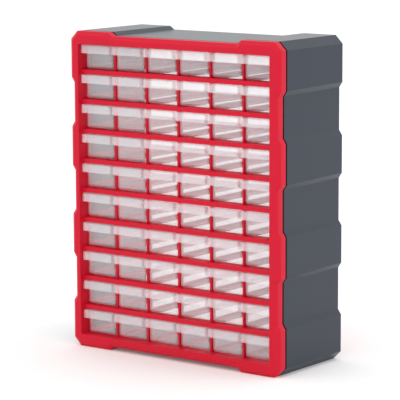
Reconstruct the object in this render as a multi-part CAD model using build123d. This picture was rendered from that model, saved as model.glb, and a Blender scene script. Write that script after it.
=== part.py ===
from build123d import *
import os

# A small-parts cabinet: a rear shell with an open back, a front frame, a grid of cells with runner rails
# and stop bars behind it, and a drawer in each cell.
# Millimetres. +Z is up, the drawers open towards -Y, and the origin is at the bottom centre.
# A "depth" below is a distance behind the flat front of the frame.

# Outside of the cabinet
cabinet_width = 380.0
cabinet_height = 475.0
cabinet_depth = 158.0

# Stepped outline: square lobes at the corners and shorter lobes up each side
corner_lobe = 72.7        # corner of the cabinet to the middle of the first slope
side_lobes = 2            # lobes up each side between the corner lobes
lobe_step = 5.2           # how far the outline steps in between lobes
slope_run = 7.5           # length of the slope at each step
corner_cut = 12.0         # cut across each outer corner
lobe_draft = 1.7          # how much each side lobe narrows, per edge, towards the rear

# Front frame
side_border = 16.8        # outline to the drawer opening, left and right
end_border = 19.2         # outline to the drawer opening, top and bottom
bevel_width = 6.4         # bevel round the front, measured across the face
bevel_depth = 5.3         # bevel round the front, measured backwards
rim_depth = 17.0          # front to the back of the outer rim
frame_depth = 27.0        # front to the back of the grid and of the spigot
frame_skin = 2.5          # wall of the hollow border

# Grid
rows = 10
columns = 6
bar_thickness = 6.4
bar_setback = 8.3
divider_thickness = 3.1
divider_setback = 17.0

# Rear shell
shell_wall = 2.5
back_wall = 2.5           # rim round the open back
back_strip = 36.0         # height of the rim's top strip, which has the keyholes
shadow_gap = 2.5          # groove between the frame's rim and the shell
spigot_clearance = 0.3    # between the frame's spigot and the inside of the shell

# Runner rails behind the grid: a ledge under the drawers' long edges and a fin between them
ledge_reach = 11.0        # column boundary to the edge of the ledge
ledge_thickness = 2.0
fin_width = 2.4
fin_height = 4.5

# Stop bars across the open back, which tie the rails' rear ends together and rest on the rim
stop_bar_depth = 5.5
stop_bar_height = 9.0
stop_bar_overlap = 8.0    # how far each end reaches past the drawer opening, over the rim

# Keyholes for hanging the cabinet on two screws
keyhole_spacing = 300.0
keyhole_head_radius = 4.5
keyhole_slot_width = 4.5
keyhole_slot_rise = 9.0
keyhole_above_window = 10.0  # lower edge of the rim's top strip to the centre of the head hole

# Drawer
drawer_wall = 1.5
drawer_front_wall = 1.8
drawer_setback = 16.3     # front of the cabinet to the lower part of the drawer's front
drawer_side_gap = 0.7     # each side, in the cell
drawer_under_gap = 0.3
drawer_over_gap = 0.9
drawer_rear_gap = 0.3     # to the stop bar
drawer_corner = 5.0       # radius of the two long bottom edges, outside

# Hooded pull across the top of the drawer's front
pull_setback = 5.5
pull_height = 12.7
pull_side_gap = 0.35      # each side, in the cell
pull_wall = 1.8
pull_corner = 3.0         # radius of the upper corners, seen from the front
pull_edge = 2.2           # radius of the two upright front edges

# Catch at the back of the drawer, which stops it against the grid
catch_width = 14.0
catch_overlap = 2.5       # how far the catch reaches above the top of the cell

# Sizes worked out from the ones above
opening_width = cabinet_width - 2 * side_border
opening_height = cabinet_height - 2 * end_border
cell_width = (opening_width - (columns - 1) * divider_thickness) / columns
cell_height = (opening_height - (rows - 1) * bar_thickness) / rows
column_pitch = cell_width + divider_thickness
row_pitch = cell_height + bar_thickness
opening_top = cabinet_height - end_border
shell_front = rim_depth + shadow_gap
shell_inside = cabinet_depth - back_wall
drawer_width = cell_width - 2 * drawer_side_gap
drawer_height = cell_height - drawer_under_gap - drawer_over_gap
stop_bar_front = shell_inside - stop_bar_depth
drawer_back = stop_bar_front - drawer_rear_gap
window_top = cabinet_height - back_strip
pull_width = cell_width - 2 * pull_side_gap
spigot_inset = shell_wall + spigot_clearance
far = 2 * cabinet_depth   # longer than anything it cuts through

# The bottom row's drawers share a node two by two, still as separate solids, and each two slide together.
paired_cells = {(9, 0): (9, 1), (9, 2): (9, 3), (9, 4): (9, 5)}


def at_depth(depth):
    """Y of a plane that lies this far behind the front of the frame."""
    return depth - cabinet_depth / 2


def block(x_range, depth_range, z_range):
    """A box between two X values, two depths and two Z values."""
    size = [x_range[1] - x_range[0], depth_range[1] - depth_range[0], z_range[1] - z_range[0]]
    centre = (sum(x_range) / 2, at_depth(sum(depth_range) / 2), sum(z_range) / 2)
    return Pos(*centre) * Box(*size)


def extrude_back(sketch, start_depth, end_depth):
    """Extrude a sketch, drawn as seen from the front, between two depths."""
    plane = Plane(origin=(0, at_depth(end_depth), 0), x_dir=(1, 0, 0), z_dir=(0, -1, 0))
    return extrude(plane * sketch, amount=end_depth - start_depth)


def lobed_edge(length, middle_lobes, draft):
    """Points along one side: (distance from the corner, inset), from one corner cut to the other."""
    slopes = 2 * (middle_lobes + 1)
    spacing = (length - 2 * corner_lobe) / (slopes - 1)
    points = [(corner_cut, 0.0)]
    for index in range(slopes):
        leaves_lobe = index % 2 == 0
        shift = -draft if leaves_lobe else draft
        middle = corner_lobe + index * spacing + shift
        first, second = (0.0, lobe_step) if leaves_lobe else (lobe_step, 0.0)
        points.append((middle - slope_run / 2, first))
        points.append((middle + slope_run / 2, second))
    points.append((length - corner_cut, 0.0))
    return points


def stepped_outline(draft):
    """The cabinet's outline in X and Z, anticlockwise from the bottom left corner."""
    half = cabinet_width / 2
    across = lobed_edge(cabinet_width, 0, draft)
    upward = lobed_edge(cabinet_height, side_lobes, draft)
    bottom = [(run - half, inset) for run, inset in across]
    right = [(half - inset, run) for run, inset in upward]
    top = [(half - run, cabinet_height - inset) for run, inset in across]
    left = [(inset - half, cabinet_height - run) for run, inset in upward]
    return bottom + right + top + left


def inset_polygon(points, distance):
    """Move every side of an anticlockwise polygon inwards by the same distance."""
    moved = []
    for index, (x, z) in enumerate(points):
        before = Vector(x - points[index - 1][0], z - points[index - 1][1]).normalized()
        following = points[(index + 1) % len(points)]
        after = Vector(following[0] - x, following[1] - z).normalized()
        # The corner slides along the bisector of its two sides.
        stretch = distance / (1 + before.dot(after))
        moved.append((x - (before.Y + after.Y) * stretch, z + (before.X + after.X) * stretch))
    return moved


def solid_through(rings):
    """A closed solid with flat sides through rings of points, given as (depth, points) pairs."""
    loops = [[Vector(x, at_depth(depth), z) for x, z in points] for depth, points in rings]
    faces = [Face(Wire.make_polygon(loops[0])), Face(Wire.make_polygon(loops[-1]))]
    for near, rear in zip(loops, loops[1:]):
        for index in range(len(near)):
            corners = [near[index - 1], near[index], rear[index], rear[index - 1]]
            faces.append(Face(Wire.make_polygon(corners)))
    return Solid(Shell(faces))


def shell_outline(depth):
    """The shell's outline at a depth: its lobes narrow steadily towards the rear."""
    share = (depth - shell_front) / (cabinet_depth - shell_front)
    return stepped_outline(lobe_draft * share)


def row_floor(row):
    """Z of the bottom of a cell. Row 0 is the top one."""
    return opening_top - row * row_pitch - cell_height


def column_centre(column):
    """X of the middle of a cell. Column 0 is the left one."""
    return (column - (columns - 1) / 2) * column_pitch


def boundary_x(boundary):
    """X of the middle of the wall left of a column. The last one is right of all the columns."""
    return column_centre(0) + (boundary - 0.5) * column_pitch


def make_front_frame():
    """The bevelled, hollow border with its spigot."""
    outline = stepped_outline(0.0)
    bevel = inset_polygon(outline, bevel_width)
    spigot = inset_polygon(outline, spigot_inset)
    frame = solid_through([(0, bevel), (bevel_depth, outline), (rim_depth, outline)])
    frame += solid_through([(rim_depth, spigot), (frame_depth, spigot)])
    half_width = opening_width / 2
    hollow = inset_polygon(outline, spigot_inset + frame_skin)
    channel = solid_through([(bevel_depth, hollow), (far, hollow)])
    channel -= block(
        (-half_width - frame_skin, half_width + frame_skin),
        (-far, 2 * far),
        (end_border - frame_skin, opening_top + frame_skin),
    )
    frame -= channel
    frame -= block((-half_width, half_width), (-far, far), (end_border, opening_top))
    return frame


def rail_span(boundary):
    """X of the left and right edges of the ledge along a column boundary."""
    left = fin_width / 2 if boundary == 0 else ledge_reach
    right = fin_width / 2 if boundary == columns else ledge_reach
    return boundary_x(boundary) - left, boundary_x(boundary) + right


def make_bars():
    """The shelf-like bars across the opening, one under each row but the bottom one."""
    half_width = opening_width / 2
    tops = [row_floor(row) for row in range(rows - 1)]
    across = (-half_width, half_width)
    return [block(across, (bar_setback, frame_depth), (top - bar_thickness, top)) for top in tops]


def make_dividers():
    """The upright walls between the columns, one piece in the height of each row."""
    dividers = []
    for row in range(rows):
        heights = (row_floor(row), row_floor(row) + cell_height)
        for boundary in range(1, columns):
            middle = boundary_x(boundary)
            sides = (middle - divider_thickness / 2, middle + divider_thickness / 2)
            dividers.append(block(sides, (divider_setback, frame_depth), heights))
    return dividers


def make_rails():
    """The rails, one along each column boundary at the floor of each row, from the grid to the stop bar."""
    rails = []
    for row in range(rows):
        floor = row_floor(row)
        for boundary in range(columns + 1):
            left, right = rail_span(boundary)
            ledge = Rectangle(right - left, ledge_thickness)
            profile = Pos((left + right) / 2, floor - ledge_thickness / 2) * ledge
            profile += Pos(boundary_x(boundary), floor + fin_height / 2) * Rectangle(fin_width, fin_height)
            rails.append(extrude_back(profile, frame_depth, stop_bar_front))
    return rails


def make_stop_bars():
    """The bars across the back, one behind each row, that stop the closed drawers."""
    half_width = opening_width / 2 + stop_bar_overlap
    lows = [row_floor(row) - ledge_thickness for row in range(rows)]
    across = (-half_width, half_width)
    return [block(across, (stop_bar_front, shell_inside), (low, low + stop_bar_height)) for low in lows]


def make_keyholes():
    """Cutters for the two keyholes: a round hole for the screw's head with a slot above it."""
    centre_z = window_top + keyhole_above_window
    shape = Pos(0, centre_z) * Circle(keyhole_head_radius)
    shape += Pos(0, centre_z + keyhole_slot_rise / 2) * Rectangle(keyhole_slot_width, keyhole_slot_rise)
    shape += Pos(0, centre_z + keyhole_slot_rise) * Circle(keyhole_slot_width / 2)
    cutter = extrude_back(shape, stop_bar_front, far)
    return [Pos(side * keyhole_spacing / 2, 0, 0) * cutter for side in (-1, 1)]


def make_rear_shell():
    """The shell, open at the front, with a rim round its open back and the keyholes in the rim."""
    outer = [(depth, shell_outline(depth)) for depth in (shell_front, cabinet_depth)]
    inner = [
        (depth, inset_polygon(shell_outline(depth), shell_wall)) for depth in (shell_front, shell_inside)
    ]
    shell = solid_through(outer) - solid_through(inner)
    half_width = opening_width / 2
    shell -= block((-half_width, half_width), (stop_bar_front, far), (end_border, window_top))
    for cutter in make_keyholes():
        shell -= cutter
    return shell


def rounded_trough(width, height, radius):
    """Cross-section of a drawer with its bottom at Z 0 and its two bottom corners rounded."""
    section = Pos(0, height / 2) * Rectangle(width, height)
    low_corners = section.vertices().group_by(Axis.Y)[0]
    return fillet(low_corners, radius)


def make_pull():
    """The hood across the drawer's front: a flange to hook fingers behind, open underneath."""
    low = drawer_height - pull_height
    half = pull_width / 2
    hood = block((-half, half), (pull_setback, drawer_setback), (low, drawer_height))
    hood = fillet(hood.edges().filter_by(Axis.Y).group_by(Axis.Z)[-1], pull_corner)
    upright = hood.edges().filter_by(Axis.Z).group_by(Axis.Y)[0]
    hood = fillet(upright, pull_edge)
    finger_space = block(
        (-half + pull_wall, half - pull_wall),
        (pull_setback + pull_wall, drawer_setback),
        (low - pull_wall, drawer_height - pull_wall),
    )
    return hood - finger_space


def make_drawer():
    """One drawer, standing on Z 0 and centred on X 0, at its own depth in the cabinet."""
    outer = rounded_trough(drawer_width, drawer_height, drawer_corner)
    drawer = extrude_back(outer, drawer_setback, drawer_back)
    inner_width = drawer_width - 2 * drawer_wall
    inner = rounded_trough(inner_width, drawer_height, drawer_corner - drawer_wall)
    inner = Pos(0, drawer_wall) * inner
    drawer -= extrude_back(inner, drawer_setback + drawer_front_wall, drawer_back - drawer_wall)
    drawer += make_pull()
    catch_top = drawer_height + drawer_over_gap + catch_overlap
    drawer += block(
        (-catch_width / 2, catch_width / 2),
        (drawer_back - drawer_wall, drawer_back),
        (drawer_height - drawer_wall, catch_top),
    )
    return drawer


def drawer_name(row, column):
    return f"drawer_row{row + 1:02d}_col{column + 1}"


def place_drawers(drawer):
    """A drawer for every cell, by node name. A set of two shares a name."""
    placed = {}
    partners = set(paired_cells.values())
    for row in range(rows):
        for column in range(columns):
            if (row, column) in partners:
                continue
            cells = [(row, column)]
            name = drawer_name(row, column)
            if (row, column) in paired_cells:
                partner = paired_cells[(row, column)]
                cells.append(partner)
                name += f"_and_col{partner[1] + 1}"
            copies = [
                Pos(column_centre(c), 0, row_floor(r) + drawer_under_gap) * drawer for r, c in cells
            ]
            placed[name] = copies[0] if len(copies) == 1 else Compound(copies)
    return placed


os.makedirs("parts", exist_ok=True)
nodes = {
    "rear_shell": make_rear_shell(),
    "front_frame": make_front_frame(),
    "cell_grid": Compound(make_bars() + make_dividers() + make_rails() + make_stop_bars()),
}
nodes.update(place_drawers(make_drawer()))
for name, shape in nodes.items():
    export_step(shape, f"parts/{name}.step")

travel = drawer_back - drawer_wall - frame_depth
print(f"cell {cell_width:.2f} x {cell_height:.2f}, pitch {column_pitch:.2f} x {row_pitch:.2f}")
print(f"drawer {drawer_width:.2f} x {drawer_back - drawer_setback:.2f} x {drawer_height:.2f}")
print(f"a drawer's catch meets the grid after {travel:.2f}")
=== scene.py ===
# %% [markdown]
# # A small-parts cabinet with sixty clear drawers
#
# The cabinet is a dark slate shell with a coral red frame on its front. The frame carries a grid of
# cells, and each cell holds a clear, slightly milky drawer with a hooded pull. The shell is open at
# the back, so daylight comes through the drawers from behind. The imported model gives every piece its
# place and size, in metres, so this lesson only dresses it: softened edges, moulded plastic with a
# fine grain, and clear plastic that shows the rails behind it.

import math

import bmesh
import bpy
import numpy as np
from mathutils import Matrix, Vector


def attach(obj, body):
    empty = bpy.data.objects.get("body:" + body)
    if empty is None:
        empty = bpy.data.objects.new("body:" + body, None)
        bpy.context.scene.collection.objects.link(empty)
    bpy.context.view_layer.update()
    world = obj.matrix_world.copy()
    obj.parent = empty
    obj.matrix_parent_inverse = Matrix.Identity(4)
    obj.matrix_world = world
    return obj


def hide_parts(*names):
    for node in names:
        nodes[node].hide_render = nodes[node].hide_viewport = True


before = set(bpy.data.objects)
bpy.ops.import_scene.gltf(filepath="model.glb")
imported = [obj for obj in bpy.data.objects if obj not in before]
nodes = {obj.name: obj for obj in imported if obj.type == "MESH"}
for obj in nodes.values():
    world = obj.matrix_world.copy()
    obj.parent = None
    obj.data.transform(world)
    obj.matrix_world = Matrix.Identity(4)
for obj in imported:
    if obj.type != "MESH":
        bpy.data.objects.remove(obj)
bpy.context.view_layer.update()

# %% [markdown]
# The camera stands to the right of the cabinet, a little above it, and far away, as a product
# photographer's does to keep the upright edges upright. Its angles and distance could be guessed by
# eye, but here they come from lining up the cabinet's real edges with the photograph. A camera looks
# along its own -Z, which is why the third column below is turned round.

# %% Camera
IMAGE_SIDE = 400
SENSOR_WIDTH, CLIP_END = 36.0, 60.0
camera_yaw, camera_pitch, camera_roll = 0.64885, 0.15519, -0.00371
camera_place = Vector((1.9329, -2.5588, 0.7305))
focal_pixels = 2204.54

ahead = Vector((
    -math.sin(camera_yaw) * math.cos(camera_pitch),
    math.cos(camera_yaw) * math.cos(camera_pitch),
    -math.sin(camera_pitch),
))
level_right = Vector((math.cos(camera_yaw), math.sin(camera_yaw), 0.0))
level_up = level_right.cross(ahead)
right = level_right * math.cos(camera_roll) + level_up * math.sin(camera_roll)
up = level_up * math.cos(camera_roll) - level_right * math.sin(camera_roll)

camera_data = bpy.data.cameras.new("camera")
camera_data.sensor_width = SENSOR_WIDTH
camera_data.lens = focal_pixels / IMAGE_SIDE * SENSOR_WIDTH
camera_data.clip_end = CLIP_END
camera = bpy.data.objects.new("camera", camera_data)
camera.matrix_world = Matrix((
    (right.x, up.x, -ahead.x, camera_place.x),
    (right.y, up.y, -ahead.y, camera_place.y),
    (right.z, up.z, -ahead.z, camera_place.z),
    (0.0, 0.0, 0.0, 1.0),
))
bpy.context.scene.collection.objects.link(camera)
bpy.context.scene.camera = camera
print("lens in mm:", round(camera_data.lens, 1))

# %% [markdown]
# Every new piece starts as arrays: points in one, faces in the other. A surface over a grid of points
# is the most useful shape, because a profile carried along a path, a ring of rings and a flat fill
# between two edges are all grids. One helper makes the faces of a grid, and another joins the arrays
# of several surfaces, so that each piece below is only its own formula.

# %% Grids of faces


def grid_faces(lines, points, closed_lines=False, closed_points=False, flip=False):
    """Faces between neighbouring lines of points, numbered line by line. A closed direction joins its
    last line or point to its first."""
    i = np.arange(lines if closed_lines else lines - 1)[:, None]
    j = np.arange(points if closed_points else points - 1)[None, :]
    i_next, j_next = (i + 1) % lines, (j + 1) % points
    corners = [i * points + j, i * points + j_next, i_next * points + j_next, i_next * points + j]
    faces = np.stack(corners, axis=-1).reshape(-1, 4)
    return faces[:, ::-1] if flip else faces


def put_together(parts):
    """Join (points, faces) pairs into one pair, by shifting each part's face numbers past the points
    before it."""
    points, faces, count = [], [], 0
    for part_points, part_faces in parts:
        points.append(part_points)
        faces.append(part_faces + count)
        count += len(part_points)
    return np.concatenate(points), np.concatenate(faces)


print("faces in a grid of 3 lines of 4 points:", len(grid_faces(3, 4)))

# %% [markdown]
# A real moulding has no sharp edge, because the mould is cut with a round tool. A bevel on every edge
# that bends far enough, with normals weighted by face size, gives that, and leaves the flat faces
# flat. Modelling each small radius by hand would say the same with many more points.

# %% Meshes from arrays, with softened edges
MM = 0.001
WELD_DISTANCE, BEVEL_STEPS = 0.02, 2


def make_piece(name, points_mm, faces, material, body, stands_for):
    """Put arrays in millimetres into a mesh in metres, and hang it on its body in place of its node."""
    mesh = bpy.data.meshes.new(name)
    mesh.from_pydata((points_mm * MM).tolist(), [], faces.tolist())
    mesh.validate()
    mesh.materials.append(material)
    piece = bpy.data.objects.new(name, mesh)
    bpy.context.scene.collection.objects.link(piece)
    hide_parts(stands_for)
    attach(piece, body)
    return piece


def soften(piece, width_mm, angle=35.0):
    """Close the seams, turn every face outwards, and round each edge that bends more than an angle."""
    work = bmesh.new()
    work.from_mesh(piece.data)
    bmesh.ops.remove_doubles(work, verts=work.verts, dist=WELD_DISTANCE * MM)
    bmesh.ops.dissolve_degenerate(work, edges=work.edges, dist=WELD_DISTANCE * MM)
    bmesh.ops.recalc_face_normals(work, faces=work.faces)
    work.to_mesh(piece.data)
    work.free()
    piece.data.polygons.foreach_set("use_smooth", np.ones(len(piece.data.polygons), bool))
    rounding = piece.modifiers.new("rounded edges", "BEVEL")
    rounding.width = width_mm * MM
    rounding.segments = BEVEL_STEPS
    rounding.limit_method = "ANGLE"
    rounding.angle_limit = math.radians(angle)
    flats = piece.modifiers.new("flat faces stay flat", "WEIGHTED_NORMAL")
    flats.keep_sharp = False


print("points closer than", WELD_DISTANCE, "mm are welded")

# %% [markdown]
# The cabinet's numbers, in millimetres, as the solid model has them. A depth is a distance behind the
# flat front of the frame, which is the way such a moulding is drawn, and one helper turns it into Y.

# %% Sizes of the cabinet
WIDTH, HEIGHT, DEPTH = 380.0, 475.0, 158.0
ROWS, COLUMNS = 10, 6
SIDE_BORDER, END_BORDER = 16.8, 19.2
BAR_THICKNESS, DIVIDER_THICKNESS = 6.4, 3.1
RIM_DEPTH, FRAME_DEPTH = 17.0, 27.0

opening_width = WIDTH - 2 * SIDE_BORDER
opening_height = HEIGHT - 2 * END_BORDER
cell_width = (opening_width - (COLUMNS - 1) * DIVIDER_THICKNESS) / COLUMNS
cell_height = (opening_height - (ROWS - 1) * BAR_THICKNESS) / ROWS
column_pitch = cell_width + DIVIDER_THICKNESS
row_pitch = cell_height + BAR_THICKNESS
opening_top = HEIGHT - END_BORDER


def y_at(depth):
    """Y in millimetres of a plane this far behind the front."""
    return depth - DEPTH / 2


def row_floor(row):
    """Z of the floor of a cell. Row 0 is the top one."""
    return opening_top - row * row_pitch - cell_height


def column_middle(column):
    """X of the middle of a cell. Column 0 is the left one."""
    return (column - (COLUMNS - 1) / 2) * column_pitch


print("cell in mm:", round(cell_width, 2), "x", round(cell_height, 2))

# %% [markdown]
# The finishes grow by the same few steps: a noise is read, a value is stretched over another range,
# two values are added or multiplied, or two shaders are mixed. Each step could be written out where
# it is used, but one short helper for each keeps a finish down to a list of what it does. The noise
# reads Object coordinates, so it sits still on the piece from every side.

# %% Steps of a node tree


def feed(tree, socket, value):
    """Write a number into an input, or link another node's output to it."""
    if isinstance(value, (int, float)):
        socket.default_value = value
    else:
        tree.links.new(value, socket)


def add_noise(tree, scale, detail):
    """A noise over Object coordinates. Its features are about 1 / scale metres wide."""
    place = tree.nodes.new("ShaderNodeTexCoord")
    node = tree.nodes.new("ShaderNodeTexNoise")
    node.inputs["Scale"].default_value = scale
    node.inputs["Detail"].default_value = detail
    tree.links.new(place.outputs["Object"], node.inputs["Vector"])
    return node.outputs["Fac"]


def add_range(tree, value, low, high, start=0.0, end=1.0):
    """A value stretched evenly: low up to start, high from end on."""
    node = tree.nodes.new("ShaderNodeMapRange")
    sockets = {"Value": value, "From Min": start, "From Max": end, "To Min": low, "To Max": high}
    for name, number in sockets.items():
        feed(tree, node.inputs[name], number)
    return node.outputs["Result"]


def add_math(tree, operation, first, second):
    """A Math node over two values, kept between 0 and 1."""
    node = tree.nodes.new("ShaderNodeMath")
    node.operation = operation
    node.use_clamp = True
    for socket, value in zip(node.inputs, (first, second)):
        feed(tree, socket, value)
    return node.outputs["Value"]


def add_mix(tree, share, first, second):
    """Two shaders mixed: the first one where share is 0, the second one where it is 1."""
    node = tree.nodes.new("ShaderNodeMixShader")
    for socket, value in zip(node.inputs, (share, first, second)):
        feed(tree, socket, value)
    return node.outputs["Shader"]


print("steps:", ", ".join(step.__name__ for step in (add_noise, add_range, add_math, add_mix)))

# %% [markdown]
# The coral red plastic is injection moulded, satin rather than glossy, with a very fine spark-eroded
# grain from the mould. The slate plastic of the shell is smoother, so its flat sides mirror a little
# more of the sky. A flat colour would look like paint. Two scales of noise do better: a broad one that
# drifts the colour by a few percent, as pigment does, and a fine one for the bump and the roughness.

# %% Moulded plastic
# A Mix node keeps its colour sockets behind those for plain numbers.
MIX_FACTOR, MIX_FIRST, MIX_SECOND, MIX_RESULT = 0, 6, 7, 2
PIGMENT_SCALE, PIGMENT_DETAIL, GRAIN_DETAIL = 9.0, 3.0, 2.0
GRAIN_HEIGHT, ROUGHNESS_DRIFT = 0.05, 0.05


def moulded_plastic(name, colour, drift, roughness, grain_mm, bump):
    """An opaque moulded plastic. Colour drifts between colour and colour times drift along a broad
    noise. A fine noise lifts the surface, and moves the roughness up and down by ROUGHNESS_DRIFT."""
    material = bpy.data.materials.new(name)
    material.use_nodes = True
    tree = material.node_tree
    shader = tree.nodes["Principled BSDF"]

    tint = tree.nodes.new("ShaderNodeMix")
    tint.data_type = "RGBA"
    tint.inputs[MIX_FIRST].default_value = (*colour, 1.0)
    tint.inputs[MIX_SECOND].default_value = (*[channel * drift for channel in colour], 1.0)
    tree.links.new(add_noise(tree, PIGMENT_SCALE, PIGMENT_DETAIL), tint.inputs[MIX_FACTOR])
    tree.links.new(tint.outputs[MIX_RESULT], shader.inputs["Base Color"])

    grain = add_noise(tree, 1.0 / (grain_mm * MM), GRAIN_DETAIL)
    spread = add_range(tree, grain, roughness - ROUGHNESS_DRIFT, roughness + ROUGHNESS_DRIFT)
    tree.links.new(spread, shader.inputs["Roughness"])
    lift = tree.nodes.new("ShaderNodeBump")
    lift.inputs["Strength"].default_value = bump
    lift.inputs["Distance"].default_value = GRAIN_HEIGHT * MM
    tree.links.new(grain, lift.inputs["Height"])
    tree.links.new(lift.outputs["Normal"], shader.inputs["Normal"])
    return material


coral_red = moulded_plastic(
    "coral_red_plastic", (0.67, 0.006, 0.030), drift=0.93, roughness=0.45, grain_mm=0.9, bump=0.25
)
coral_red.node_tree.nodes["Principled BSDF"].inputs["Specular IOR Level"].default_value = 0.2
slate = moulded_plastic(
    "slate_plastic", (0.015, 0.023, 0.042), drift=0.88, roughness=0.30, grain_mm=0.7, bump=0.35
)
print("opaque plastics:", coral_red.name, slate.name)

# %% [markdown]
# The drawers are clear plastic, but not glass: each thin wall passes most light straight on, scatters a
# little of it like thin milk, and mirrors the white room. Real refraction through so many thin walls
# in a row would be slow and noisy and would look almost the same, because a thin parallel wall hardly
# shifts what is behind it. So each surface will be a mix of Transparent and a pale skin. The skin is
# a glossy plastic whose roughness ripples slowly, as a cheap moulding's does, and a little light
# reaches it from behind.

# %% Pale skin of the clear plastic
PLASTIC_IOR, RIPPLE_SCALE, RIPPLE_DETAIL = 1.5, 160.0, 1.0
SMOOTHEST, ROUGHEST = 0.10, 0.22


def pale_skin(tree, colour, through):
    """A glossy plastic mixed with light from behind, whose share is through."""
    plastic = tree.nodes["Principled BSDF"]
    plastic.inputs["Base Color"].default_value = (*colour, 1.0)
    plastic.inputs["IOR"].default_value = PLASTIC_IOR
    ripple = add_noise(tree, RIPPLE_SCALE, RIPPLE_DETAIL)
    tree.links.new(add_range(tree, ripple, SMOOTHEST, ROUGHEST), plastic.inputs["Roughness"])
    from_behind = tree.nodes.new("ShaderNodeBsdfTranslucent")
    from_behind.inputs["Color"].default_value = (*colour, 1.0)
    return add_mix(tree, through, plastic.outputs["BSDF"], from_behind.outputs["BSDF"])


print("skin roughness:", SMOOTHEST, "to", ROUGHEST)

# %% [markdown]
# How much skin shows depends on the place and on the angle. The pull and the tray's front are milkier
# than the rest, and a wall seen edge on holds more plastic. Layer Weight gives the angle, because
# Fresnel would take the inside of a thin wall for the inside of a solid block. Light on its way to
# another surface goes through whole, since milk scatters it onwards and takes hardly any. A separate
# material for each zone would work too, but one that reads its own depth needs no seams.

# %% Clear, slightly milky plastic
FRONT_WALL_END, MILK_BLEND = 18.3, 0.2
# At this blend, Layer Weight's Facing is one minus the cosine of the viewing angle.
EVEN_BLEND, SLANT_POWER = 0.5, 3.0


def skin_share(tree, front_milk, tray_milk, edge):
    """Share of skin: front_milk up to the back of the tray's front wall and tray_milk behind it, plus
    edge times the cube of one minus the cosine of the viewing angle. It is 0 for light that is only
    passing through."""
    place = tree.nodes.new("ShaderNodeTexCoord")
    axes = tree.nodes.new("ShaderNodeSeparateXYZ")
    tree.links.new(place.outputs["Object"], axes.inputs["Vector"])
    wall_end, blend_end = y_at(FRONT_WALL_END) * MM, y_at(FRONT_WALL_END + MILK_BLEND) * MM
    milk = add_range(tree, axes.outputs["Y"], front_milk, tray_milk, wall_end, blend_end)
    slant = tree.nodes.new("ShaderNodeLayerWeight")
    slant.inputs["Blend"].default_value = EVEN_BLEND
    steep = add_math(tree, "POWER", slant.outputs["Facing"], SLANT_POWER)
    grazing = add_math(tree, "MULTIPLY", steep, edge)
    share = add_math(tree, "ADD", milk, grazing)

    ray = tree.nodes.new("ShaderNodeLightPath")
    passing = add_math(tree, "MAXIMUM", ray.outputs["Is Shadow Ray"], ray.outputs["Is Diffuse Ray"])
    stays = add_math(tree, "SUBTRACT", 1.0, passing)
    return add_math(tree, "MULTIPLY", share, stays)


def milky_clear_plastic(name, colour, front_milk, tray_milk, edge, through):
    """Transparent mixed with the pale skin, by the skin's share."""
    material = bpy.data.materials.new(name)
    material.use_nodes = True
    tree = material.node_tree
    skin = pale_skin(tree, colour, through)
    share = skin_share(tree, front_milk, tray_milk, edge)
    clear = tree.nodes.new("ShaderNodeBsdfTransparent")
    surface = add_mix(tree, share, clear.outputs["BSDF"], skin)
    tree.links.new(surface, tree.nodes["Material Output"].inputs["Surface"])
    return material


drawer_clear = milky_clear_plastic(
    "drawer_clear_plastic", (0.97, 0.965, 1.0), front_milk=0.24, tray_milk=0.03, edge=0.3, through=0.05
)
print("clear plastic:", drawer_clear.name)

# %% [markdown]
# The outline of the cabinet is stepped: square lobes at the corners and two shorter ones up each
# side. It is easiest to write one side as distances along the edge and insets from it, and to use
# that for all four sides. Tracing the outline by hand would need four times the numbers, and its two
# halves would not match.

# %% The stepped outline
CORNER_LOBE, LOBE_STEP, SLOPE_RUN, CORNER_CUT = 72.7, 5.2, 7.5, 12.0
SIDE_LOBES = 2


def lobed_side(length, middle_lobes):
    """(distance, inset) points along one side. The outline steps in and out at evenly spaced slopes."""
    slopes = 2 * (middle_lobes + 1)
    middles = CORNER_LOBE + np.arange(slopes) * (length - 2 * CORNER_LOBE) / (slopes - 1)
    distances = (middles[:, None] + np.array([-0.5, 0.5]) * SLOPE_RUN).ravel()
    insets = np.tile([0.0, LOBE_STEP, LOBE_STEP, 0.0], slopes // 2)
    distances = np.concatenate([[CORNER_CUT], distances, [length - CORNER_CUT]])
    return distances, np.concatenate([[0.0], insets, [0.0]])


def stepped_outline():
    """The outline's corners in X and Z, anticlockwise from the bottom left."""
    run, inset = lobed_side(WIDTH, 0)
    rise, inset_up = lobed_side(HEIGHT, SIDE_LOBES)
    half = WIDTH / 2
    return np.concatenate([
        np.stack([run - half, inset], 1),
        np.stack([half - inset_up, rise], 1),
        np.stack([half - run, HEIGHT - inset], 1),
        np.stack([inset_up - half, HEIGHT - rise], 1),
    ])


outline = stepped_outline()
print("corners of the outline:", len(outline))

# %% [markdown]
# The frame's profile needs the same outline moved inwards by a set distance, and each corner rounded
# with a small arc, which the moulded edge has and a plain polygon hasn't. Where the frame ends at the
# drawer opening, the outline has to turn into a rounded rectangle with as many points.

# %% Outlines moved inwards, rounded, and fitted to the opening
CORNER_POINTS, SMALLEST_LENGTH = 3, 1e-9


def side_directions(corners):
    """Unit vectors along the sides that arrive at and leave each corner."""
    leave = np.roll(corners, -1, 0) - corners
    leave /= np.linalg.norm(leave, axis=1, keepdims=True)
    return np.roll(leave, 1, 0), leave


def inset_corners(corners, distance):
    """Move every side inwards. A corner slides along the bisector, by distance / (1 + cosine) times the
    sum of both inward normals."""
    arrive, leave = side_directions(corners)
    total = arrive + leave
    inward = np.stack([-total[:, 1], total[:, 0]], 1)
    cosine = np.sum(arrive * leave, axis=1, keepdims=True)
    return corners + inward * distance / (1 + cosine)


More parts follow.
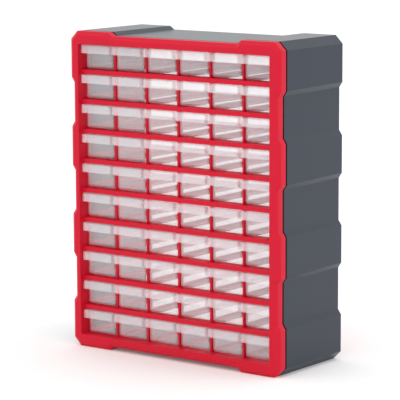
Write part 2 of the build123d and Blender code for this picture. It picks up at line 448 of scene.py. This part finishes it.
def rounded_corners(corners, radius):
    """Replace each corner by a curve that starts and ends the same reach away from it: a quadratic
    blend (1-t)^2, 2t(1-t), t^2 of the two ends and the corner. reach is radius times the tangent of
    half the turn, as for an arc."""
    arrive, leave = side_directions(corners)
    cosine = np.clip(np.sum(arrive * leave, axis=1), -1, 1)
    reach = (radius * np.sqrt((1 - cosine) / (1 + cosine)))[:, None, None]
    t = np.linspace(0, 1, CORNER_POINTS)[None, :, None]
    here = corners[:, None, :]
    start, end = here - arrive[:, None, :] * reach, here + leave[:, None, :] * reach
    curve = start * (1 - t) ** 2 + here * 2 * t * (1 - t) + end * t ** 2
    return curve.reshape(-1, 2)


def nearest_on_opening(points, grow, radius):
    """Where each outline point meets the rounded rectangle of the opening: the nearest point of the
    rectangle's core, pushed out by the radius towards the outline point."""
    half = np.array([opening_width / 2 + grow - radius, opening_height / 2 + grow - radius])
    centre = np.array([0.0, HEIGHT / 2])
    local = points - centre
    core = np.clip(local, -half, half)
    away = local - core
    away /= np.maximum(np.linalg.norm(away, axis=1, keepdims=True), SMALLEST_LENGTH)
    return centre + core + away * radius


print("points of the rounded outline:", len(rounded_corners(outline, 1.0)))

# %% [markdown]
# ## The red frame
#
# The frame is one moulding with a wide bevel round its front, a rim, and behind the rim a spigot that
# plugs into the shell. As a loft it is a ring of rings: each ring is the outline inset by some amount
# at some depth, and the last ones are the edge of the drawer opening. Where two faces meet, a ring
# just before the bend and one just behind it make a small round. Such rounds give the thin light
# lines that a real moulding shows on its edges.

# %% Profile of the frame
BEVEL_WIDTH, BEVEL_DEPTH, FRAME_SKIN, SPIGOT_INSET = 6.4, 5.3, 2.5, 2.8
RIM_EASE, SIDE_EASE, FLAT_EASE, OPENING_EASE, OPENING_BEND = 0.6, 0.5, 0.4, 0.5, 0.15
BEVEL_START, BEVEL_END, BEVEL_RISE = 0.25, 0.55, 0.35

outline_rings = [
    (SPIGOT_INSET + FRAME_SKIN, FRAME_DEPTH),    # back end of the spigot, inner edge
    (SPIGOT_INSET, FRAME_DEPTH),                 # back end of the spigot, outer edge
    (SPIGOT_INSET, RIM_DEPTH),                   # where the spigot meets the rim
    (RIM_EASE, RIM_DEPTH),                       # back of the rim, rounded into its side
    (0.0, RIM_DEPTH - RIM_EASE),
    (0.0, BEVEL_DEPTH + SIDE_EASE),              # side of the rim, rounded into the bevel
    (BEVEL_START, BEVEL_DEPTH - BEVEL_RISE),
    (BEVEL_WIDTH - BEVEL_END, BEVEL_RISE),       # bevel, rounded into the flat front
    (BEVEL_WIDTH + FLAT_EASE, 0.0),
]
opening_rings = [
    (OPENING_EASE, 0.0),                         # flat front, rounded into the opening
    (OPENING_BEND, OPENING_BEND),
    (0.0, OPENING_EASE),
    (0.0, FRAME_DEPTH),                          # back end of the opening's wall, inner edge
    (FRAME_SKIN, FRAME_DEPTH),                   # back end of the opening's wall, outer edge
]
print("rings of the frame:", len(outline_rings) + len(opening_rings))

# %% [markdown]
# Each pair of that profile becomes a ring of points. Up to the edge of the bevel a ring is the outline
# moved inwards, and from there on each point goes to the nearest point of the opening. All rings have
# the same number of points, so one grid of faces covers the whole moulding and closes both ways.

# %% Frame
OUTLINE_RADIUS, OPENING_RADIUS, FRAME_EDGE = 1.2, 1.0, 0.3
rings = []
for inset, depth in outline_rings:
    ring = rounded_corners(inset_corners(outline, inset), OUTLINE_RADIUS)
    rings.append(np.insert(ring, 1, y_at(depth), axis=1))
edge_of_bevel = rings[-1][:, [0, 2]]
for grow, depth in opening_rings:
    ring = nearest_on_opening(edge_of_bevel, grow, OPENING_RADIUS)
    rings.append(np.insert(ring, 1, y_at(depth), axis=1))
frame_points = np.concatenate(rings)
frame_faces = grid_faces(len(rings), len(edge_of_bevel), closed_lines=True, closed_points=True)
red_frame = make_piece(
    "red_frame", frame_points, frame_faces, coral_red, "cabinet", "front_frame"
)
soften(red_frame, FRAME_EDGE, angle=50.0)
print("frame points:", len(frame_points))

# %% [markdown]
# ## The clear drawers
#
# A drawer is a thin-walled tray whose two long bottom edges and whose front edges are rounded, with a
# hooded pull across the top of its front and a small catch at the back. Seen from the front its outline
# is a U, so the tray is a U carried backwards, twice: once for the outside and once, smaller, for the
# inside. A flat fill between the left and right halves of the same U closes each end.

# %% U shapes, and surfaces made from them
SIDE_GAP, UNDER_GAP, OVER_GAP = 0.7, 0.3, 0.9
BEND_POINTS = 5
drawer_width = cell_width - 2 * SIDE_GAP
drawer_height = cell_height - UNDER_GAP - OVER_GAP


def quarter_bend(side, edge, radius, count):
    """A quarter circle from a line at side to a line at edge. At an angle a into it, a point is at
    side - radius (1 - cos a) and edge + radius (1 - sin a)."""
    turn = np.linspace(0, np.pi / 2, count)
    return np.stack([side - radius + radius * np.cos(turn), edge + radius - radius * np.sin(turn)], 1)


def half_u(half_width, low, high, radius):
    """The right half of a U in X and Z, from its top edge down and in to the middle of its floor."""
    bend = quarter_bend(half_width, low, radius, BEND_POINTS)
    return np.concatenate([[[half_width, high]], bend, [[0.0, low]]])


def mirrored(points):
    """The same points on the left, as a copy with X turned round."""
    return points * np.array([-1.0, 1.0])


def flat_fill(half, depth, facing_front):
    """A flat wall inside a U: one strip of faces between each point and its mirror image."""
    pairs = np.stack([mirrored(half), half], 1)
    points = np.insert(pairs.reshape(-1, 2), 1, y_at(depth), axis=1)
    return points, grid_faces(len(half), 2, flip=not facing_front)


def carried_u(halves, depths):
    """U shapes at rising depths, joined. Each U runs from its left top edge to its right one."""
    whole = [np.concatenate([mirrored(half), half[::-1][1:]]) for half in halves]
    lines = [np.insert(line, 1, y_at(depth), axis=1) for line, depth in zip(whole, depths)]
    return np.concatenate(lines), grid_faces(len(lines), len(whole[0]))


print("drawer in mm:", round(drawer_width, 2), "wide and", round(drawer_height, 2), "high")

# %% [markdown]
# The front edges curve back before the side walls and the floor begin, so the first few U shapes are
# smaller ones, each a little further back. The inside does the same with a smaller radius, which keeps
# the wall's thickness even round the bend. What is left open is the rim on top: a long strip down each
# side, and a short one across the front and the back.

# %% Tray
DRAWER_WALL, FRONT_WALL = 1.5, 1.8
DRAWER_FRONT, DRAWER_BACK, TRAY_CORNER = 16.3, 149.7, 5.0
SHARPEST_CORNER = 0.1


def rounded_front(half_width, low, radius, front, back):
    """The U shapes of a tray whose front edges are rounded. At an angle a into the rounding, the U is
    radius (1 - sin a) smaller, and radius (1 - cos a) behind the front. The last U is at the back."""
    turn = np.linspace(0, np.pi / 2, BEND_POINTS)
    smaller = radius * (1 - np.sin(turn))
    depths = front + radius * (1 - np.cos(turn))
    halves = [
        half_u(half_width - less, low + less, drawer_height, max(radius - less, SHARPEST_CORNER))
        for less in smaller
    ]
    return halves + halves[-1:], np.append(depths, back)


def tray():
    """The tray: outer U shapes, inner U shapes, their four end walls and the rim on top."""
    half_width = drawer_width / 2
    front, back = DRAWER_FRONT, DRAWER_BACK
    inner_front, inner_back = front + FRONT_WALL, back - DRAWER_WALL
    outer, outer_depths = rounded_front(half_width, 0.0, TRAY_CORNER, front, back)
    inner, inner_depths = rounded_front(
        half_width - DRAWER_WALL, DRAWER_WALL, TRAY_CORNER - DRAWER_WALL, inner_front, inner_back
    )
    outer_edge = [[half[0][0], y_at(depth)] for half, depth in zip(outer, outer_depths)]
    inner_edge = [[half[0][0], y_at(depth)] for half, depth in zip(inner, inner_depths)]
    right_edge = np.insert(np.array(outer_edge + inner_edge), 2, drawer_height, axis=1)
    left_edge = right_edge * np.array([-1.0, 1.0, 1.0])
    count = len(outer_edge)
    side_strip, end_strip = grid_faces(2, count), grid_faces(2, 2)
    at_front, at_back = [0, count], [count - 1, 2 * count - 1]
    return put_together([
        carried_u(outer, outer_depths),
        flat_fill(outer[0], front, True),
        flat_fill(outer[-1], back, False),
        carried_u(inner, inner_depths),
        flat_fill(inner[0], inner_front, False),
        flat_fill(inner[-1], inner_back, True),
        (right_edge, side_strip),
        (left_edge, side_strip[:, ::-1]),
        (np.concatenate([left_edge[at_front], right_edge[at_front]]), end_strip),
        (np.concatenate([left_edge[at_back], right_edge[at_back]]), end_strip),
    ])


tray_points, tray_faces = tray()
print("tray points:", len(tray_points), "faces:", len(tray_faces))

# %% [markdown]
# The pull is a hood, open underneath, so that fingertips reach up behind its front. In plan it is a
# C: along one cheek, round a corner, across the front, round the other corner and back. A box with
# rounded edges would be quicker, but its cheeks would not run back into the tray's rounded front.

# %% The plan of the hooded pull
PULL_FRONT, PULL_HEIGHT, PULL_WALL, PULL_SIDE_GAP = 5.5, 12.7, 1.8, 0.35
PULL_CORNER, PULL_EDGE, PULL_INNER_EDGE = 3.0, 2.2, 0.8
FRONT_STEPS, EDGE_POINTS = 3, 4
pull_width = cell_width - 2 * PULL_SIDE_GAP


def plan_c(half_width, front, back, radius):
    """The right half of the C in X and depth: from the back of the cheek to the middle of the front."""
    bend = quarter_bend(half_width, front, radius, EDGE_POINTS)
    across = np.linspace(half_width - radius, 0.0, FRONT_STEPS + 1)[1:]
    return np.concatenate([[[half_width, back]], bend, np.stack([across, np.full(FRONT_STEPS, front)], 1)])


def c_at_height(half_width, front, back, radius, z):
    """The whole C at one height, as points."""
    half = plan_c(half_width, front, back, radius)
    whole = np.concatenate([half, mirrored(half)[::-1][1:]])
    return np.stack([whole[:, 0], y_at(whole[:, 1]), np.full(len(whole), z)], 1)


print("pull in mm:", round(pull_width, 2), "wide and", PULL_HEIGHT, "high")

# %% [markdown]
# That C, repeated at rising heights, makes the outside of the hood, and its upper corners round off
# because the C gets narrower near the top. A second, smaller C makes the inside. Both are closed on
# top by a level fill, and strips close the rim underneath and the ends of the cheeks.

# %% Hood


def lid(line):
    """A level fill between the right and left halves of a C."""
    middle = len(line) // 2
    pairs = np.stack([line[:middle + 1], line[middle:][::-1]], 1)
    return pairs.reshape(-1, 3), grid_faces(middle + 1, 2)


def between(first_line, second_line):
    """A strip between two lines of the same length."""
    return np.concatenate([first_line, second_line]), grid_faces(2, len(first_line))


def hood():
    """The hood: outer C and inner C at rising heights, each closed on top, a rim underneath and one
    round the back. At an angle a into the rounded top, the C is corner (1 - cos a) narrower and
    corner (1 - sin a) below the top."""
    low, high = drawer_height - PULL_HEIGHT, drawer_height
    half_width, front, back = pull_width / 2, PULL_FRONT, DRAWER_FRONT + TRAY_CORNER
    turn = np.linspace(0, np.pi / 2, BEND_POINTS)
    levels = np.concatenate([[low], high - PULL_CORNER + PULL_CORNER * np.sin(turn)])
    narrowing = np.concatenate([[0.0], PULL_CORNER - PULL_CORNER * np.cos(turn)])
    outer = [
        c_at_height(half_width - less, front, back, PULL_EDGE, z) for z, less in zip(levels, narrowing)
    ]
    inner = [
        c_at_height(half_width - PULL_WALL, front + PULL_WALL, back, PULL_INNER_EDGE, z)
        for z in (low, high - PULL_WALL)
    ]
    right_outside, left_outside = [line[0] for line in outer], [line[-1] for line in outer]
    back_rim = np.array(right_outside + left_outside[::-1])
    top_count = len(outer) - 1
    inner_rim = np.concatenate([
        inner[0][:1], np.repeat(inner[1][:1], top_count, 0),
        np.repeat(inner[1][-1:], top_count, 0), inner[0][-1:],
    ])
    count = len(outer[0])
    return put_together([
        (np.concatenate(outer), grid_faces(len(outer), count)),
        (np.concatenate(inner), grid_faces(len(inner), count)),
        lid(outer[-1]),
        lid(inner[-1]),
        between(outer[0], inner[0]),
        between(back_rim, inner_rim),
    ])


hood_points, hood_faces = hood()
print("hood points:", len(hood_points), "faces:", len(hood_faces))

# %% [markdown]
# The catch is a small upright tab at the middle of the back, which meets the grid when the drawer is
# pulled out. It stands on the tray's rear wall and reaches a little above the cell.

# %% Catch
CATCH_WIDTH, CATCH_OVERLAP, CATCH_CORNER, CATCH_ROOT = 14.0, 2.5, 1.5, 0.2


def catch():
    """A thin upright tab: an outline in X and Z with its upper corners cut, carried from its front to
    its back."""
    half = CATCH_WIDTH / 2
    low, top = drawer_height - CATCH_ROOT, drawer_height + OVER_GAP + CATCH_OVERLAP
    corners = np.array([
        [-half, low], [half, low], [half, top - CATCH_CORNER],
        [half - CATCH_CORNER, top], [CATCH_CORNER - half, top], [-half, top - CATCH_CORNER],
    ])
    front = np.insert(corners, 1, y_at(DRAWER_BACK - DRAWER_WALL), axis=1)
    back = np.insert(corners, 1, y_at(DRAWER_BACK), axis=1)
    count = len(corners)
    sides = grid_faces(2, count, closed_points=True)
    caps = np.array([[0, 1, 2, 5], [5, 2, 3, 4]])
    return np.concatenate([front, back]), np.concatenate([sides, caps, caps[:, ::-1] + count])


catch_points, catch_faces = catch()
print("catch faces:", len(catch_faces))

# %% [markdown]
# Now the drawers are set out: the same arrays, moved to each cell, in a mesh of their own. Each rides
# on its own body, so that every drawer slides by itself. One mesh used sixty times would be smaller,
# but the bottom row's drawers share a body two by two, and plain copies of the arrays suit both.

# %% The drawers in their cells
DRAWER_EDGE = 0.35
drawer_points, drawer_faces = put_together([
    (tray_points, tray_faces), (hood_points, hood_faces), (catch_points, catch_faces),
])


def drawer_cells(node_name):
    """The (row, column) of each drawer in a node, read from the node's own name."""
    digits = [int(word[3:]) - 1 for word in node_name.split("_") if word[:3] in ("row", "col")]
    return [(digits[0], column) for column in digits[1:]]


drawer_nodes = sorted(name for name in nodes if name.startswith("drawer_"))
for node_name in drawer_nodes:
    copies = []
    for row, column in drawer_cells(node_name):
        shift = np.array([column_middle(column), 0.0, row_floor(row) + UNDER_GAP])
        copies.append((drawer_points + shift, drawer_faces))
    points, faces = put_together(copies)
    clear_drawer = make_piece(
        "clear_" + node_name, points, faces, drawer_clear, node_name, node_name
    )
    soften(clear_drawer, DRAWER_EDGE)
print("pieces made for the drawers:", len(drawer_nodes))

# %% [markdown]
# ## Shell and grid
#
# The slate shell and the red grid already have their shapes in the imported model: flat walls, the rim
# of the open back, bars, dividers, rails, and a low stop bar behind each row. They stay as they are and
# only get their finish.

# %% Finish of the shell and the grid
finishes = {"rear_shell": slate, "cell_grid": coral_red}
for node_name, finish in finishes.items():
    nodes[node_name].data.materials.clear()
    nodes[node_name].data.materials.append(finish)
print("dressed as packed:", ", ".join(finishes))

# %% [markdown]
# ## Floor, backdrop and light
#
# The photograph is a packshot: a white sweep that fades into the background, and hardly any shadow.
# The floor here is a wide white sheet. A sheet that reflects nine tenths of its light is still a little
# grey beside a pure white sky, so a faint glow that only the camera sees lifts it to white. The shadow
# stays, because the glow is the same everywhere and lights nothing.

# %% Floor
FLOOR_REACH, FLOOR_WHITE, FLOOR_ROUGHNESS, FLOOR_GLOW = 14.0, 0.93, 0.9, 0.10
floor_mesh = bpy.data.meshes.new("floor")
floor_corners = [(x * FLOOR_REACH, y * FLOOR_REACH, 0.0) for x, y in [(-1, -1), (1, -1), (1, 1), (-1, 1)]]
floor_mesh.from_pydata(floor_corners, [], [(0, 1, 2, 3)])
floor = bpy.data.objects.new("floor", floor_mesh)
bpy.context.scene.collection.objects.link(floor)

floor_paint = bpy.data.materials.new("white_sweep")
floor_paint.use_nodes = True
sweep = floor_paint.node_tree
matt_white = sweep.nodes["Principled BSDF"]
matt_white.inputs["Base Color"].default_value = (FLOOR_WHITE, FLOOR_WHITE, FLOOR_WHITE, 1.0)
matt_white.inputs["Roughness"].default_value = FLOOR_ROUGHNESS
matt_white.inputs["Specular IOR Level"].default_value = 0.0
glow = sweep.nodes.new("ShaderNodeEmission")
rays = sweep.nodes.new("ShaderNodeLightPath")
seen_glow = add_math(sweep, "MULTIPLY", rays.outputs["Is Camera Ray"], FLOOR_GLOW)
sweep.links.new(seen_glow, glow.inputs["Strength"])
both = sweep.nodes.new("ShaderNodeAddShader")
sweep.links.new(matt_white.outputs["BSDF"], both.inputs[0])
sweep.links.new(glow.outputs["Emission"], both.inputs[1])
sweep.links.new(both.outputs["Shader"], sweep.nodes["Material Output"].inputs["Surface"])
floor_mesh.materials.append(floor_paint)
print("floor:", 2 * FLOOR_REACH, "m square")

# %% [markdown]
# A white sky all round is the softest light there is, and it is what a light tent gives. It lights the
# scene by its own strength, and the camera, mirror-like reflections and clear things see it as plain
# white.

# %% Sky
SKY_LIGHT, SKY_SEEN = 1.08, 1.0
world = bpy.data.worlds.new("white_sky")
bpy.context.scene.world = world
world.use_nodes = True
sky = world.node_tree
sky_light = sky.nodes["Background"]
sky_seen = sky.nodes.new("ShaderNodeBackground")
for background, strength in ((sky_light, SKY_LIGHT), (sky_seen, SKY_SEEN)):
    background.inputs["Color"].default_value = (1.0, 1.0, 1.0, 1.0)
    background.inputs["Strength"].default_value = strength
path = sky.nodes.new("ShaderNodeLightPath")
seen = add_math(sky, "MAXIMUM", path.outputs["Is Camera Ray"], path.outputs["Is Glossy Ray"])
seen = add_math(sky, "MAXIMUM", seen, path.outputs["Is Transmission Ray"])
white_sky = add_mix(sky, seen, sky_light.outputs["Background"], sky_seen.outputs["Background"])
sky.links.new(white_sky, sky.nodes["World Output"].inputs["Surface"])
print("sky as a light:", SKY_LIGHT)

# %% [markdown]
# Two large, weak lamps give the light a direction: one above and in front, one on the right. They are
# far larger than the cabinet, so the shadow on the floor has no edge.

# %% Lamps


def soft_lamp(name, place, aim, size, power):
    """A square area lamp at a place, turned towards a point."""
    data = bpy.data.lights.new(name, "AREA")
    data.size = size
    data.energy = power
    lamp = bpy.data.objects.new(name, data)
    lamp.location = place
    lamp.rotation_euler = (Vector(aim) - Vector(place)).to_track_quat("-Z", "Y").to_euler()
    bpy.context.scene.collection.objects.link(lamp)
    return lamp


lamps = [
    soft_lamp("overhead_lamp", place=(0.4, -1.0, 2.4), aim=(0.0, 0.0, 0.2), size=1.6, power=4.0),
    soft_lamp("side_lamp", place=(2.4, 0.8, 1.2), aim=(0.0, 0.0, 0.24), size=1.4, power=6.0),
]
print("lamps:", ", ".join(lamp.name for lamp in lamps))

# %% [markdown]
# A look through the cabinet crosses both faces of up to eight thin clear walls, and more when drawers
# stand open. Each face uses up one transparent step, so the limit is raised until no wall goes black.
# The view transform is the plain one, which leaves white as white.

# %% View and light steps
scene = bpy.context.scene
scene.view_settings.view_transform = "Standard"
scene.cycles.transparent_max_bounces = 48
scene.cycles.diffuse_bounces = 6
print("view transform:", scene.view_settings.view_transform)
